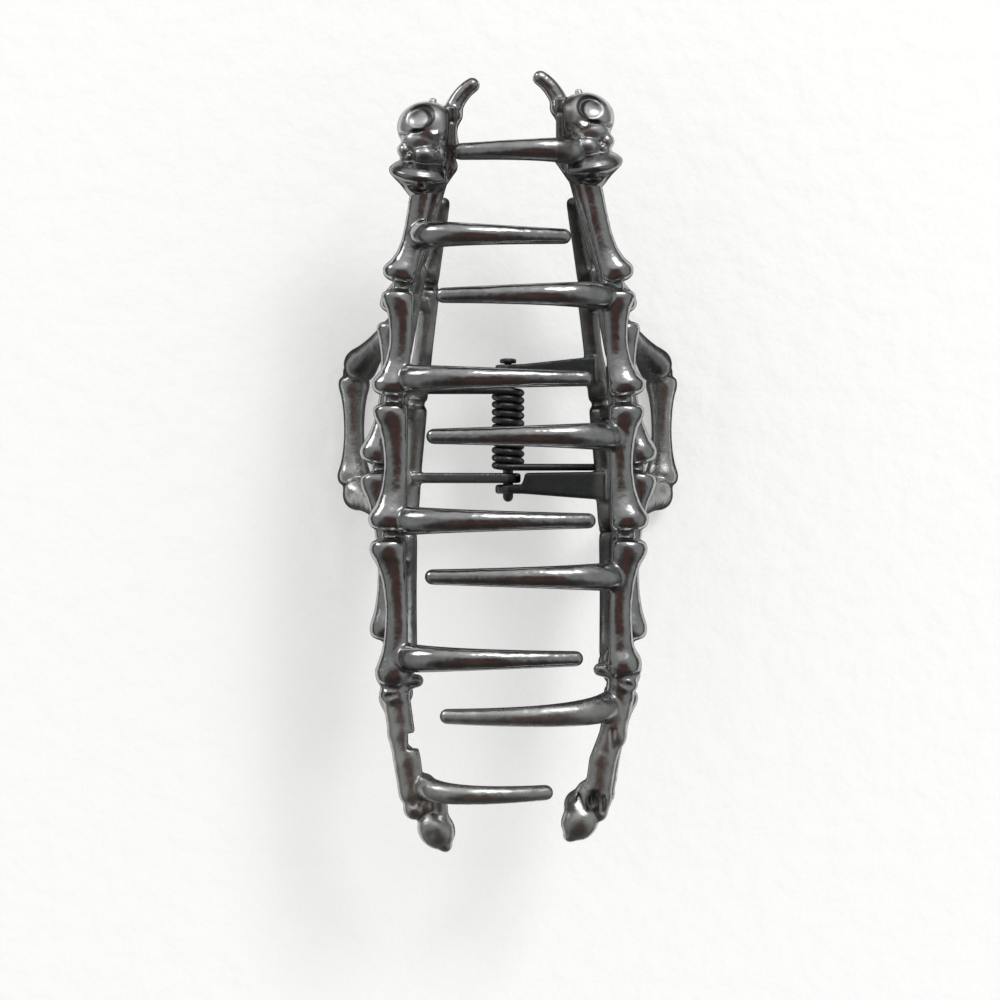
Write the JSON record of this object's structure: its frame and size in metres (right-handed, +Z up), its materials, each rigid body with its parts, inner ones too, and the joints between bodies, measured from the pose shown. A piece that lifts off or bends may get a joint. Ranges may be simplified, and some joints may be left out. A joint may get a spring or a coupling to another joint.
{
  "type": "claw hair clip",
  "caption": "Metal claw hair clip whose two sprung jaws are skeleton hands, with smooth curved teeth that interleave, a small skull at each top end and a bone-shaped finger loop on each jaw.",
  "frame": {"origin": "on the surface that the clip stands on, under the middle of its length and width", "axes": "+X across the clip to the right jaw, +Y along the clip from the wrists to the fingertips, +Z up from the finger loops to the teeth"},
  "size_m": [0.048, 0.1012, 0.0454],
  "materials": {
    "gunmetal_casting": "dark gunmetal plating over cast zinc alloy, bright and mirror-like with a light cast grain",
    "black_steel": "black plated steel, semi-gloss"
  },
  "bodies": {
    "left_jaw": {"jaw_left": "gunmetal_casting", "hinge_pin": "black_steel", "torsion_spring": "black_steel"},
    "right_jaw": {"jaw_right": "gunmetal_casting"}
  },
  "joints": [
    {"name": "jaw_hinge", "type": "hinge", "parent": "left_jaw", "child": "right_jaw", "pos_m": [0, 0.0046, 0.014], "axis": [0, 1, 0], "range_deg": [0, 55], "stiffness_Nm_per_rad": 0.12, "springref_deg": -40.11, "deforming": ["torsion_spring"]}
  ]
}
